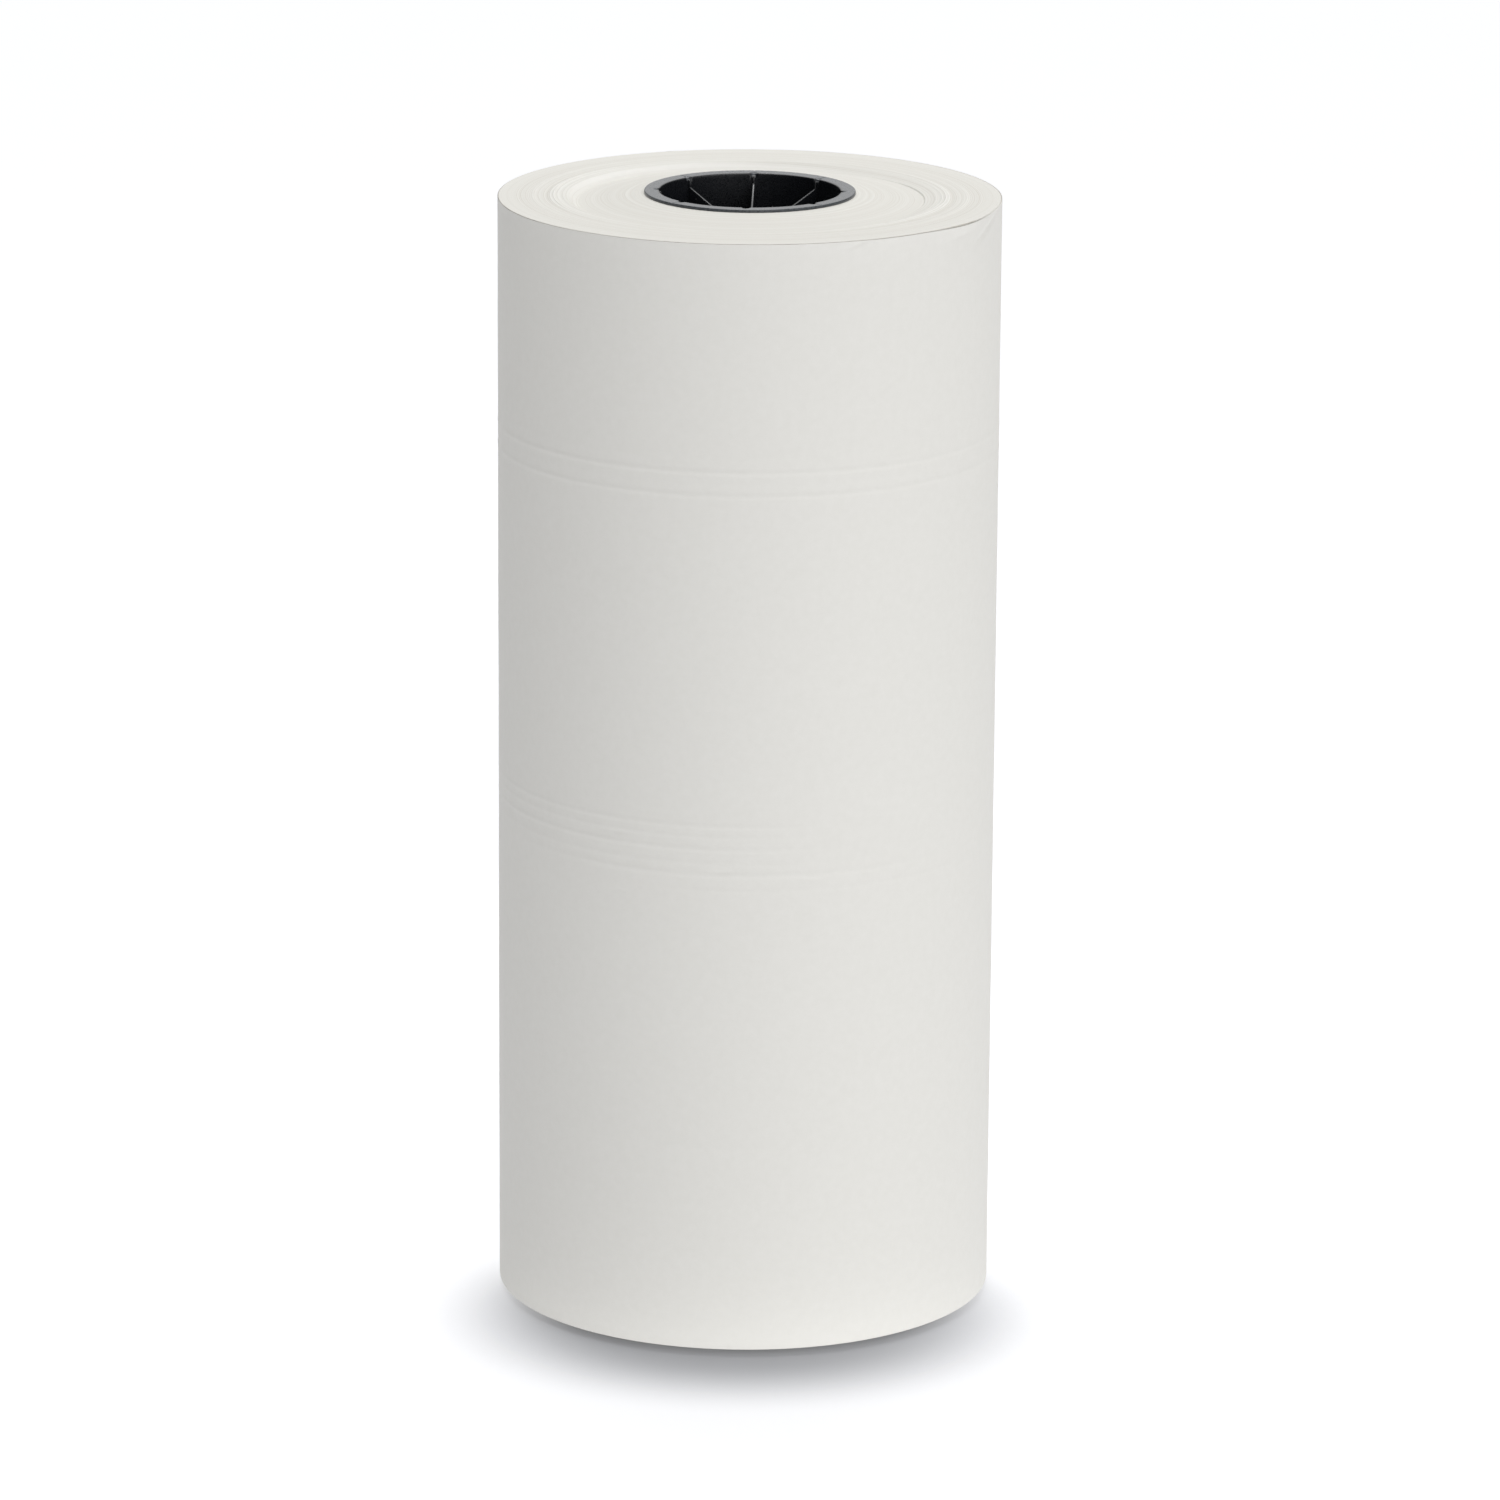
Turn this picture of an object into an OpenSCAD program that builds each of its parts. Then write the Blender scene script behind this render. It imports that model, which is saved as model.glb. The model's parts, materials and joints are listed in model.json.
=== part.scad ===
// Counter roll of white paper on a spiral-wound board core, with a moulded plug in each end of the core.
// The roll stands on its lowest wraps. +Z runs up the roll's axis, and z = 0 is the lower edge of those wraps.

/* [Paper web] */
// Width of the paper, which is also the length of the core
web_width = 457.2; // [300:0.1:610]
// Outer diameter of the full roll
roll_d = 204.3; // [180:0.1:230]
// Diameter at which the wraps step sideways
step_d = 141; // [110:1:145]
// How far the core and the wraps next to it stand above the outer wraps
core_proud = 1.1; // [0:0.1:2]
// How far the wraps at the sideways step lie below the outer wraps
step_drop = 2.8; // [1.6:0.1:3.5]
// Run of the slope from the lowest wraps up to the outer wraps
step_run = 2; // [0.5:0.1:4]

/* [Tail of the web] */
// Length of the free tail, measured around the roll
tail_length = 71; // [30:1:100]
// Direction of the middle of the tail, in degrees from +X
tail_angle = 90; // [60:1:120]
// Length of each tape tab around the roll
tab_length = 40; // [20:1:50]
// Height of each tape tab along the roll
tab_height = 24; // [12:1:40]

/* [Core] */
// Inside diameter of the core
core_id = 76.2; // [70:0.1:80]
// Thickness of one board ply
ply_t = 0.5; // [0.4:0.05:0.6]
// Width of the double-sided tape that starts the web
start_tape_w = 25; // [12:1:40]

/* [Core plugs] */
// Diameter of the plug's flange
flange_d = 85.5; // [84:0.1:90]
// Thickness of the plug's flange
flange_t = 1.2; // [0.9:0.1:2]
// Depth of the plug's barrel in the core
barrel_depth = 32; // [24:1:45]
// Wall of the plug's barrel at its mouth
barrel_wall = 1.2; // [1:0.1:1.4]
// Diameter of the spindle hole in the hub
spindle_d = 26; // [16:0.5:30]
// Number of radial ribs between the hub and the barrel
rib_count = 8; // [4:1:12]
// Thickness of a rib
rib_t = 1.1; // [0.8:0.1:1.6]

/* [Hidden] */
$fn = 96;
eps = 0.01;

// Heights
step_z0 = 0;
step_z1 = step_z0 + web_width;
outer_z0 = step_z0 + step_drop;
outer_z1 = outer_z0 + web_width;
core_z0 = outer_z0 + core_proud;
core_z1 = core_z0 + web_width;

// Radii of the core and of the wraps
core_plies = 7;
core_r = core_id / 2;
core_or = core_r + core_plies * ply_t;
step_r = step_d / 2;
roll_r = roll_d / 2;
wrap_t = 0.65;
pack_r = roll_r - wrap_t;

// The tail lies in a gap left in the outer wrap, clear of the pack below it.
// It hinges at tail_from, and its free edge is at tail_to.
tail_t = 0.35;
tail_sweep = tail_length / roll_r * 180 / PI;
tail_from = tail_angle - tail_sweep / 2;
tail_to = tail_angle + tail_sweep / 2;
tail_gap = 0.2 / roll_r * 180 / PI;

// Tape tabs that hold the tail, half on the tail and half on the roll
tab_t = 0.3;
tab_lift = 0.25;
tab_sweep = tab_length / roll_r * 180 / PI;
tab_count = 3;
tab_inset = 70;
tab_pitch = (web_width - 2 * tab_inset) / (tab_count - 1);

// Double-sided tape between the core and the first wrap
start_tape_t = 0.2;
start_tape_angle = 200;
start_tape_inset = 6;
start_tape_sweep = start_tape_w / core_or * 180 / PI;

// Plug, drawn with the underside of its flange at z = 0 and its barrel below
grip_count = 16;
grip_w = 1.2;
grip_play = 0.05;
grip_proud = 0.2;
grip_r = core_r - grip_play;
barrel_r = grip_r - grip_proud;
barrel_draft = 0.35;
mouth_r = barrel_r - barrel_wall;
flange_r = flange_d / 2;
edge_round = 0.4;
// The wraps lie level with the core's end as far out as this, under the flange
level_r = flange_r + 0.75;
lead_in = 1;
hub_wall = 1.8;
hub_r = spindle_d / 2 + hub_wall;
hub_h = 20;
hub_round = 0.6;
hub_top = hub_h - barrel_depth;
rib_mouth_z = flange_t - 4.5;
rib_bead = 1;
rib_bead_z = flange_t - 0.9;
rib_foot_gap = 2;
notch_w = 4;
notch_depth = 1.2;
notch_z = 0.7;
groove_w = 0.5;
groove_z = 0.25;
plug_turn = 87.6;

// A ring sector of rectangular section
module arc_band(r0, r1, z0, z1, from, sweep)
    rotate([0, 0, from])
        rotate_extrude(angle = sweep)
            translate([r0, z0])
                square([r1 - r0, z1 - z0]);

module tube(r0, r1, z0, z1)
    rotate_extrude()
        translate([r0, z0])
            square([r1 - r0, z1 - z0]);

// One ply of the core, counted from the bore outwards
module core_ply(i)
    tube(core_r + i * ply_t, core_r + (i + 1) * ply_t, core_z0, core_z1);

module core_liner_ply() color("burlywood") core_ply(0);
module core_body_ply(i) color("tan") core_ply(i);
module core_cover_ply() color("burlywood") core_ply(core_plies - 1);

module start_tape_band()
    arc_band(core_or, core_or + start_tape_t, core_z0 + start_tape_inset, core_z1 - start_tape_inset,
             start_tape_angle, start_tape_sweep);

module start_tape() color("gainsboro") start_tape_band();

module web_inner_wraps() color("ivory")
    difference() {
        rotate_extrude()
            polygon([[core_or, core_z0], [level_r, core_z0], [step_r, step_z0],
                     [step_r, step_z1], [level_r, core_z1], [core_or, core_z1]]);
        start_tape_band();
    }

module web_outer_wraps() color("ivory")
    rotate_extrude()
        polygon([[step_r, step_z0], [step_r + step_run, outer_z0], [pack_r, outer_z0],
                 [pack_r, outer_z1], [step_r + step_run, outer_z1], [step_r, step_z1]]);

module outer_wrap() color("whitesmoke")
    arc_band(pack_r, roll_r, outer_z0, outer_z1, tail_to + tail_gap, 360 - tail_sweep - 2 * tail_gap);

module tail_flap() color("whitesmoke")
    arc_band(roll_r - tail_t, roll_r, outer_z0, outer_z1, tail_from, tail_sweep);

// The tabs rest on the tail and reach over its edge onto the roll
module tape_tab(z)
    difference() {
        arc_band(roll_r, roll_r + tab_lift + tab_t, z - tab_height / 2, z + tab_height / 2,
                 tail_to - tab_sweep / 2, tab_sweep);
        arc_band(roll_r - 1, roll_r + tab_lift, z - tab_height, z + tab_height,
                 tail_to, tab_sweep);
    }

module tail_tape_tabs() color("aliceblue")
    for (i = [0 : tab_count - 1])
        tape_tab(outer_z0 + tab_inset + i * tab_pitch);

// Flange section with a rounded rim, both faces flat
module flange_section() {
    translate([mouth_r, 0])
        square([flange_r - edge_round - mouth_r, flange_t]);
    translate([flange_r - edge_round - eps, 0])
        square([edge_round + eps, flange_t - edge_round]);
    translate([flange_r - edge_round, flange_t - edge_round])
        circle(r = edge_round);
}

// Barrel section, drafted, with a lead-in at its foot
module barrel_section()
    polygon([[mouth_r, eps], [barrel_r, eps], [barrel_r, -barrel_depth + lead_in],
             [barrel_r - lead_in / 2, -barrel_depth], [mouth_r - barrel_draft, -barrel_depth]]);

module hub_section()
    polygon([[spindle_d / 2, -barrel_depth], [hub_r, -barrel_depth], [hub_r, hub_top - hub_round],
             [hub_r - hub_round, hub_top], [spindle_d / 2, hub_top]]);

// Upright rib whose upper edge falls from the barrel's mouth to the hub
module rib() {
    foot = -barrel_depth + rib_foot_gap;
    root = hub_r - hub_wall / 2;
    wall = mouth_r + barrel_wall / 4;
    rotate([90, 0, 0])
        linear_extrude(rib_t, center = true)
            polygon([[root, foot], [wall - barrel_draft, foot], [wall, rib_bead_z], [mouth_r - rib_bead, rib_bead_z],
                     [mouth_r - rib_bead, rib_mouth_z], [hub_r, hub_top], [root, hub_top]]);
}

// Crush rib on the outside of the barrel
module grip_rib()
    translate([barrel_r - barrel_wall / 2, -grip_w / 2, -barrel_depth + 2 * lead_in])
        cube([barrel_wall / 2 + grip_proud, grip_w, barrel_depth - 4 * lead_in]);

// Shallow cuts at each rib: a notch in the flange's inner edge and a parting groove across it
module rib_cuts() {
    translate([mouth_r - rib_bead - 1, -notch_w / 2, flange_t - notch_z])
        cube([rib_bead + 1 + notch_depth, notch_w, notch_z + 1]);
    translate([mouth_r, -groove_w / 2, flange_t - groove_z])
        cube([flange_r, groove_w, groove_z + 1]);
}

module core_plug() {
    difference() {
        union() {
            rotate_extrude() {
                flange_section();
                barrel_section();
            }
            rotate_extrude()
                hub_section();
            for (i = [0 : rib_count - 1])
                rotate([0, 0, i * 360 / rib_count])
                    rib();
            intersection() {
                for (i = [0 : grip_count - 1])
                    rotate([0, 0, (i + 0.5) * 360 / grip_count])
                        grip_rib();
                translate([0, 0, -barrel_depth])
                    cylinder(r = grip_r, h = barrel_depth);
            }
        }
        for (i = [0 : rib_count - 1])
            rotate([0, 0, i * 360 / rib_count])
                rib_cuts();
    }
}

module core_plug_top() color("dimgray")
    translate([0, 0, core_z1])
        rotate([0, 0, plug_turn])
            core_plug();

module core_plug_bottom() color("dimgray")
    translate([0, 0, core_z0])
        mirror([0, 0, 1])
            rotate([0, 0, plug_turn])
                core_plug();

core_liner_ply();
core_body_ply(1);  // core_body_ply_1
core_body_ply(2);  // core_body_ply_2
core_body_ply(3);  // core_body_ply_3
core_body_ply(4);  // core_body_ply_4
core_body_ply(5);  // core_body_ply_5
core_cover_ply();
start_tape();
web_inner_wraps();
web_outer_wraps();
outer_wrap();
tail_flap();
tail_tape_tabs();
core_plug_top();
core_plug_bottom();
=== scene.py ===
"""The looks of a roll of white paper: its web, its board core, its two core plugs and the taped tail.

Lengths are in metres unless a name or a comment says mm, and angles are in degrees. Azimuths run
anticlockwise from +X, seen from above, so the camera looks at the roll's -90 degree side.
"""

import json
import math

import bmesh
import bpy
import numpy as np
from mathutils import Matrix, Vector


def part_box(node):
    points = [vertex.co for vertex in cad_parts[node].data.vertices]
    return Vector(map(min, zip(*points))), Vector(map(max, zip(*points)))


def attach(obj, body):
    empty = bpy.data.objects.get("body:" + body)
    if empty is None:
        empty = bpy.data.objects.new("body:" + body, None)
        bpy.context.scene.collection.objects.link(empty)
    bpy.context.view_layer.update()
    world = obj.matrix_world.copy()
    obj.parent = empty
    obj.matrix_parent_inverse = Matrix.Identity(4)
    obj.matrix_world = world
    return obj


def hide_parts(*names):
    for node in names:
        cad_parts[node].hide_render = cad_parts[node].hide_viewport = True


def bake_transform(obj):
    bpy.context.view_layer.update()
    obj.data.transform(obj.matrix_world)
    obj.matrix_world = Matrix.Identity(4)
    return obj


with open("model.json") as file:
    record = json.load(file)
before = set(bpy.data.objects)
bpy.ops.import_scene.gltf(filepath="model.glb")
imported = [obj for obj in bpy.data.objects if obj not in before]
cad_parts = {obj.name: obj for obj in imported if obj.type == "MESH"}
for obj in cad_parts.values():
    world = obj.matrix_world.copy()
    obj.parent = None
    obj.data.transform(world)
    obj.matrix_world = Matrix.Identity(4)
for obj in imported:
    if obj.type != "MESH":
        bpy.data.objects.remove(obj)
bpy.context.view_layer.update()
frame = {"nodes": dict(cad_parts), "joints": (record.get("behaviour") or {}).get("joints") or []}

MM = 0.001
scene = bpy.context.scene


# ---------------------------------------------------------------- sizes read from the frame


def node_radii(node):
    """The smallest and the largest distance of a node's vertices from the roll's axis."""
    points = np.array([v.co for v in frame["nodes"][node].data.vertices])
    reach = np.hypot(points[:, 0], points[:, 1])
    return float(reach.min()), float(reach.max())


def node_heights(node):
    """The lowest and the highest point of a node."""
    low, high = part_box(node)
    return low.z, high.z


def node_azimuths(node):
    """The first and the last azimuth of a node that lies within the half circle round +Y."""
    points = np.array([v.co for v in frame["nodes"][node].data.vertices])
    azimuths = np.degrees(np.arctan2(points[:, 1], points[:, 0]))
    return float(azimuths.min()), float(azimuths.max())


CORE_R = node_radii("web_inner_wraps")[0]
STEP_R = node_radii("web_inner_wraps")[1]
ROLL_R = node_radii("outer_wrap")[1]
CORE_Z = node_heights("core_liner_ply")
OUTER_Z = node_heights("outer_wrap")
CORE_PROUD = CORE_Z[1] - OUTER_Z[1]
LEVEL_R = node_radii("core_plug_top")[1] + 0.75 * MM
TAIL_FROM, TAIL_TO = node_azimuths("tail_flap")
HINGE = next(j for j in frame["joints"] if j["name"] == "tail_lift")["pos_m"]

# Thickness of the paper, then the radii of the pack's outside and of the sheet's and the tail's insides
PAPER = 0.09 * MM
PACK_R = ROLL_R - 3 * PAPER
SHEET_IN_R = ROLL_R - 2.4 * PAPER
TAIL_IN_R = ROLL_R - 1.2 * PAPER


# ---------------------------------------------------------------- helpers for numbers


def smooth(t):
    """0 below 0, 1 above 1, and a smooth rise between."""
    t = np.clip(t, 0, 1)
    return t * t * (3 - 2 * t)


def bell(x, centre, width):
    """A smooth bump of height 1 at centre, about twice width across."""
    return np.exp(-(((x - centre) / width) ** 2))


def turn_from(azimuth, centre):
    """How far azimuth is from centre, from -180 to 180."""
    return (azimuth - centre + 180) % 360 - 180


def around(azimuth, knots):
    """A value that changes smoothly round the roll, given as {azimuth: value}."""
    at = sorted(knots)
    low = [a - 360 for a in at] + at + [a + 360 for a in at]
    values = [knots[a] for a in at] * 3
    wrapped = turn_from(np.asarray(azimuth, float), 0)
    spread = (-6, -3, 0, 3, 6)
    return sum(np.interp(wrapped + s, low, values) for s in spread) / len(spread)


def nothing(azimuth, z):
    """0 at every azimuth and height."""
    return 0 * azimuth * z


def polar(radius, azimuth, z):
    """Points from cylinder coordinates, in an array whose last axis is x, y, z."""
    radius, azimuth, z = np.broadcast_arrays(radius, np.radians(azimuth), z)
    return np.stack([radius * np.cos(azimuth), radius * np.sin(azimuth), z], axis=-1)


# ---------------------------------------------------------------- helpers for meshes

SHARP_ANGLE = 32


def add_piece(name, points, faces, material):
    """A new mesh object, smooth but for the edges that turn by more than SHARP_ANGLE."""
    mesh = bpy.data.meshes.new(name)
    mesh.from_pydata(np.asarray(points).tolist(), [], faces)
    piece = bpy.data.objects.new(name, mesh)
    scene.collection.objects.link(piece)
    tidy_mesh(piece)
    mesh.materials.append(material)
    return piece


def tidy_mesh(piece):
    """Turns every face outwards, shades it smooth and marks the sharp edges."""
    work = bmesh.new()
    work.from_mesh(piece.data)
    bmesh.ops.recalc_face_normals(work, faces=work.faces)
    limit = math.radians(SHARP_ANGLE)
    for edge in work.edges:
        edge.smooth = edge.calc_face_angle(0.0) < limit
    for face in work.faces:
        face.smooth = True
    work.to_mesh(piece.data)
    work.free()


def section_faces(columns, rows, closed_round):
    """The faces of a closed section of rows points swept through columns places."""
    faces = []
    last = columns if closed_round else columns - 1
    for c in range(last):
        d = (c + 1) % columns
        for r in range(rows):
            s = (r + 1) % rows
            faces.append((c * rows + r, d * rows + r, d * rows + s, c * rows + s))
    if not closed_round:
        faces.append(tuple(range(rows)))
        faces.append(tuple((columns - 1) * rows + r for r in reversed(range(rows))))
    return faces


def sweep(name, grid, closed_round, material):
    """A solid from grid[column, row, xyz], where each column is a closed section."""
    columns, rows = grid.shape[:2]
    return add_piece(name, grid.reshape(-1, 3), section_faces(columns, rows, closed_round), material)


def join(name, pieces):
    """One object from several, each of them a closed shell."""
    work = bmesh.new()
    for piece in pieces:
        work.from_mesh(piece.data)
    mesh = bpy.data.meshes.new(name)
    work.to_mesh(mesh)
    work.free()
    mesh.materials.append(pieces[0].data.materials[0])
    whole = bpy.data.objects.new(name, mesh)
    scene.collection.objects.link(whole)
    for piece in pieces:
        bpy.data.objects.remove(piece)
    return whole


# ---------------------------------------------------------------- helpers for materials


class Shader:
    """A material whose colour, roughness and relief come from nodes."""

    def __init__(self, name, roughness=0.8, specular=0.5):
        self.material = bpy.data.materials.new(name)
        self.material.use_nodes = True
        self.tree = self.material.node_tree
        self.tree.nodes.clear()
        self.surface = self.add("ShaderNodeBsdfPrincipled")
        self.surface.inputs["Roughness"].default_value = roughness
        self.surface.inputs["Specular IOR Level"].default_value = specular
        output = self.add("ShaderNodeOutputMaterial")
        self.link(self.surface.outputs["BSDF"], output.inputs["Surface"])
        self.place = self.add("ShaderNodeTexCoord").outputs["Object"]

    def add(self, kind, **settings):
        node = self.tree.nodes.new(kind)
        for name, value in settings.items():
            setattr(node, name, value)
        return node

    def link(self, source, target):
        self.tree.links.new(source, target)

    def put(self, node, name, value):
        """Sets an input to a number or colour, or links it to a socket."""
        if isinstance(value, bpy.types.NodeSocket):
            self.link(value, node.inputs[name])
        else:
            node.inputs[name].default_value = value

    def math(self, operation, a, b=0.0, c=0.0):
        node = self.add("ShaderNodeMath", operation=operation)
        for i, value in enumerate((a, b, c)):
            self.put(node, i, value)
        return node.outputs[0]

    def noise(self, size, detail=3.0, place=None, rough=0.5):
        """Soft noise whose features are about size metres across, from 0 to 1."""
        node = self.add("ShaderNodeTexNoise")
        self.put(node, "Vector", place or self.place)
        self.put(node, "Scale", 1.0 / size)
        self.put(node, "Detail", detail)
        self.put(node, "Roughness", rough)
        return node.outputs["Fac"]

    def lines(self, size, along, detail=2.0):
        """Noise in one direction only: along is a distance in metres."""
        node = self.add("ShaderNodeTexNoise", noise_dimensions="1D")
        self.put(node, "W", along)
        self.put(node, "Scale", 1.0 / size)
        self.put(node, "Detail", detail)
        return node.outputs["Fac"]

    def specks(self, spacing, reach, share):
        """1 inside small dots: spacing apart, reach across, in that share of the cells."""
        cells = self.add("ShaderNodeTexVoronoi", feature="F1")
        self.put(cells, "Vector", self.place)
        self.put(cells, "Scale", 1.0 / spacing)
        near = self.ramp(cells.outputs["Distance"], reach / spacing, 0.4 * reach / spacing)
        pick = self.add("ShaderNodeSeparateColor")
        self.put(pick, 0, cells.outputs["Color"])
        chosen = self.math("LESS_THAN", pick.outputs[0], share)
        return self.math("MULTIPLY", near, chosen)

    def ramp(self, value, low, high, out_low=0.0, out_high=1.0):
        """Maps value from low..high to out_low..out_high and clamps it."""
        node = self.add("ShaderNodeMapRange", clamp=True)
        self.put(node, "Value", value)
        ends = {"From Min": low, "From Max": high, "To Min": out_low, "To Max": out_high}
        for name, number in ends.items():
            self.put(node, name, number)
        return node.outputs["Result"]

    def mix(self, factor, a, b):
        """A colour from a, where factor is 0, to b, where it is 1."""
        node = self.add("ShaderNodeMix", data_type="RGBA")
        sockets = {s.identifier: s for s in node.inputs}
        for identifier, value in (("Factor_Float", factor), ("A_Color", a), ("B_Color", b)):
            if isinstance(value, bpy.types.NodeSocket):
                self.link(value, sockets[identifier])
            else:
                sockets[identifier].default_value = value
        return next(s for s in node.outputs if s.identifier == "Result_Color")

    def radius(self):
        """Each point's distance from the roll's axis."""
        parts = self.add("ShaderNodeSeparateXYZ")
        self.put(parts, 0, self.place)
        x, y = parts.outputs[0], parts.outputs[1]
        square = self.math("ADD", self.math("MULTIPLY", x, x), self.math("MULTIPLY", y, y))
        return self.math("SQRT", square)

    def toward(self, azimuth):
        """1 on the side of the roll at azimuth, 0 a quarter turn from it and -1 on the far side."""
        side = self.add("ShaderNodeVectorMath", operation="DOT_PRODUCT")
        self.put(side, 0, self.place)
        self.put(side, 1, polar(1.0, azimuth, 0.0).tolist())
        return self.math("DIVIDE", side.outputs["Value"], self.radius())

    def height(self):
        """Each point's height above the floor."""
        parts = self.add("ShaderNodeSeparateXYZ")
        self.put(parts, 0, self.place)
        return parts.outputs[2]

    def stretched(self, z):
        """Object coordinates with their heights scaled by z, for a grain that runs one way."""
        node = self.add("ShaderNodeMapping")
        self.put(node, "Vector", self.place)
        self.put(node, "Scale", (1.0, 1.0, z))
        return node.outputs["Vector"]

    def relief(self, height, depth):
        """Bump of depth metres from height, which runs from 0 to 1, added to what is there."""
        node = self.add("ShaderNodeBump")
        self.put(node, "Height", height)
        self.put(node, "Distance", depth)
        self.put(node, "Strength", 1.0)
        if self.surface.inputs["Normal"].is_linked:
            self.link(self.surface.inputs["Normal"].links[0].from_socket, node.inputs["Normal"])
        self.link(node.outputs["Normal"], self.surface.inputs["Normal"])

    def colour(self, value):
        self.put(self.surface, "Base Color", value)

    def roughness(self, value):
        self.put(self.surface, "Roughness", value)


def rgb(r, g, b):
    return (r, g, b, 1.0)


# ---------------------------------------------------------------- materials

# Rings of the web's ends that stand proud or lie deep, with a painted highlight on the proud ones and painted
# shade on the deep ones: radius over the roll's, height and width in mm
PROUD_RINGS = [
    (0.455, 0.08, 0.45),
    (0.472, -0.07, 0.45),
    (0.490, 0.10, 0.45),
    (0.738, 0.22, 0.50),
    (0.761, 0.28, 0.48),
    (0.776, 0.45, 0.55),
    (0.789, 0.26, 0.45),
    (0.806, -0.18, 0.50),
    (0.851, 0.16, 0.50),
    (0.861, 0.22, 0.45),
]
# The azimuth where the rings stand proudest and their painted highlight and shade are strongest: they do so
# on the opposite side as well
RING_SIDE = 162.0
# The azimuth where the step's band carries its strongest painted highlight
STEP_HIGHLIGHT_SIDE = 125.0


def paper_face():
    """The smooth uncoated face of the paper: cloudy formation, fine fibre and a few specks."""
    s = Shader("paper_face", roughness=0.72, specular=0.35)
    clouds = s.ramp(s.noise(3.5 * MM, detail=6, rough=0.65), 0.3, 0.7)
    base = s.mix(clouds, rgb(0.812, 0.800, 0.756), rgb(0.834, 0.822, 0.780))
    flecks = s.math("MULTIPLY", s.specks(22 * MM, 0.34 * MM, 0.16), 0.35)
    s.colour(s.mix(flecks, base, rgb(0.42, 0.36, 0.27)))
    s.roughness(s.ramp(s.noise(2.5 * MM, detail=4), 0.3, 0.7, 0.66, 0.8))
    s.relief(s.noise(1.6 * MM, detail=6, rough=0.65), 0.025 * MM)
    s.relief(s.noise(0.35 * MM, detail=3), 0.012 * MM)
    return s.material


def ring_light_and_shade(s):
    """From 0 to 1, for the rings' painted highlight and shade: 0.5 between the rings, more on the proud ones
    and less on the deep ones.
    """
    share = s.math("DIVIDE", s.radius(), ROLL_R)
    ramp = s.add("ShaderNodeValToRGB")
    s.put(ramp, "Fac", share)
    stops = [(0.0, 0.5), (1.0, 0.5)]
    for at, height, width in PROUD_RINGS:
        reach = 0.9 * width * MM / ROLL_R
        tone = 0.5 + (1.6 if height > 0 else 1.2) * height
        stops += [(at - reach, 0.5), (at, min(1.0, tone)), (at + reach, 0.5)]
    stops.sort()
    elements = ramp.color_ramp.elements
    elements[0].position, elements[1].position = stops[0][0], stops[-1][0]
    for element in elements:
        element.color = rgb(0.5, 0.5, 0.5)
    for at, tone in stops[1:-1]:
        elements.new(at).color = rgb(tone, tone, tone)
    return ramp.outputs["Color"]


def paper_edge():
    """The cut edges of the wraps: fine dark rings and bands of tone, painted highlight and shade on the
    rings, and a painted highlight on the step's band.
    """
    s = Shader("paper_edge", roughness=0.85, specular=0.25)
    wander = s.math("MULTIPLY", s.noise(60 * MM, detail=2), 0.5 * MM)
    along = s.math("ADD", s.radius(), wander)
    fine = s.lines(0.32 * MM, along, detail=3)
    bands = s.lines(2.6 * MM, along, detail=4)
    light = s.mix(s.ramp(bands, 0.3, 0.7), rgb(0.795, 0.783, 0.735), rgb(0.826, 0.815, 0.770))
    lines = s.ramp(fine, 0.30, 0.46, 0.5, 0.0)
    plain = s.mix(lines, light, rgb(0.60, 0.55, 0.48))
    ring_side = s.toward(RING_SIDE)
    proud = s.math("MULTIPLY", ring_side, ring_side)
    tone = ring_light_and_shade(s)
    # Painted highlight on the proud rings and painted shade on the deep ones, both strongest on one side of
    # the roll and on the opposite side
    ring_highlight = s.math("MULTIPLY", s.ramp(tone, 0.5, 1.0), proud)
    ring_shade = s.math("MULTIPLY", s.ramp(tone, 0.5, 0.2, 0.0, 0.7), proud)
    # A painted highlight on the band just outside the step, strongest at the back left
    step_in = s.ramp(s.radius(), STEP_R + 0.4 * MM, STEP_R + 1.8 * MM)
    step_out = s.ramp(s.radius(), STEP_R + 2.6 * MM, STEP_R + 4.4 * MM, 1.0, 0.0)
    step_turn = s.ramp(s.toward(STEP_HIGHLIGHT_SIDE), 0.35, 0.9)
    step_highlight = s.math("MULTIPLY", s.math("MULTIPLY", step_in, step_out), step_turn)
    with_highlights = s.mix(s.math("MAXIMUM", ring_highlight, step_highlight), plain, rgb(0.93, 0.92, 0.885))
    s.colour(s.mix(ring_shade, with_highlights, rgb(0.68, 0.65, 0.59)))
    s.relief(bands, 0.03 * MM)
    s.relief(fine, 0.05 * MM)
    s.relief(s.noise(0.6 * MM, detail=4), 0.02 * MM)
    return s.material


# Heights are scaled by this in the board's grain, so its fibres are longer up the roll
BOARD_GRAIN = 0.5


def board(name, dark, light):
    """Board of a core ply: short fibres, flecks of recycled stock and a soft grain."""
    s = Shader(name, roughness=0.88, specular=0.2)
    fibre = s.noise(1.1 * MM, detail=6, place=s.stretched(BOARD_GRAIN), rough=0.7)
    clouds = s.noise(14 * MM, detail=3)
    tone = s.math("ADD", s.math("MULTIPLY", fibre, 0.6), s.math("MULTIPLY", clouds, 0.4))
    base = s.mix(s.ramp(tone, 0.36, 0.64), dark, light)
    flecks = s.math("MULTIPLY", s.specks(3.2 * MM, 0.3 * MM, 0.35), 0.5)
    s.colour(s.mix(flecks, base, rgb(0.20, 0.14, 0.09)))
    s.roughness(s.ramp(fibre, 0.3, 0.7, 0.8, 0.95))
    s.relief(fibre, 0.06 * MM)
    return s.material


# From this radius outwards a plug's plastic carries a painted sheen, a lighter bluish grey patchy with scuffs
SHEEN_R = 37.1 * MM


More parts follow.
